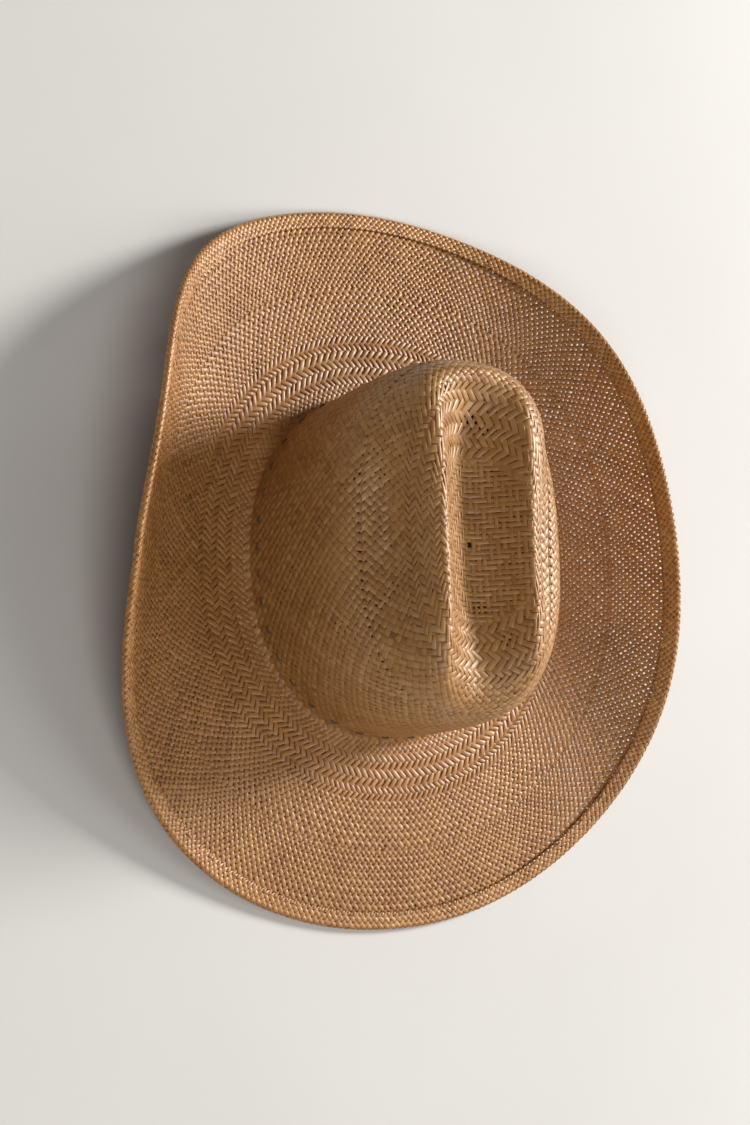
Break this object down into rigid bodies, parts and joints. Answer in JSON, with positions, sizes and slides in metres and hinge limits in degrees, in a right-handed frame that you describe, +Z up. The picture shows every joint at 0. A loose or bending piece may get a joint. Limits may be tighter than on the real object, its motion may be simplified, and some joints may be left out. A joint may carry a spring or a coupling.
{
  "type": "cowboy hat",
  "caption": "Woven straw cowboy hat with a creased crown, a wide brim curled up at the sides, a folded wired hem and a leather sweatband.",
  "frame": {"origin": "middle of the hat's footprint, on the surface that its brim stands on", "axes": "+X to the front of the hat, +Y to the wearer's left, +Z up through the crown"},
  "size_m": [0.4118, 0.3544, 0.1277],
  "materials": {
    "woven_straw": "woven flat straw, satin",
    "hem_straw": "woven flat straw, folded double",
    "hat_wire": "galvanised wire",
    "ferrule_brass": "plain crimped tube",
    "hem_thread": "waxed thread",
    "band_leather": "smooth vegetable-tanned",
    "reed_plastic": "leather-covered piping",
    "cotton_tape": "plain cotton tape",
    "band_thread": "thread",
    "seam_thread": "thread",
    "bow_ribbon": "narrow satin ribbon",
    "tag_cloth": "plain woven tag"
  },
  "bodies": {
    "root": {"crown": "woven_straw", "brim": "woven_straw", "brim_hem": "hem_straw", "brim_wire": "hat_wire", "wire_ferrule": "ferrule_brass", "hem_stitches": "hem_thread", "sweatband": "band_leather", "sweatband_reed": "reed_plastic", "reed_tape": "cotton_tape", "sweatband_stitches": "band_thread", "back_seam_stitches": "seam_thread", "sweatband_bow": "bow_ribbon", "size_tag": "tag_cloth"}
  },
  "joints": []
}
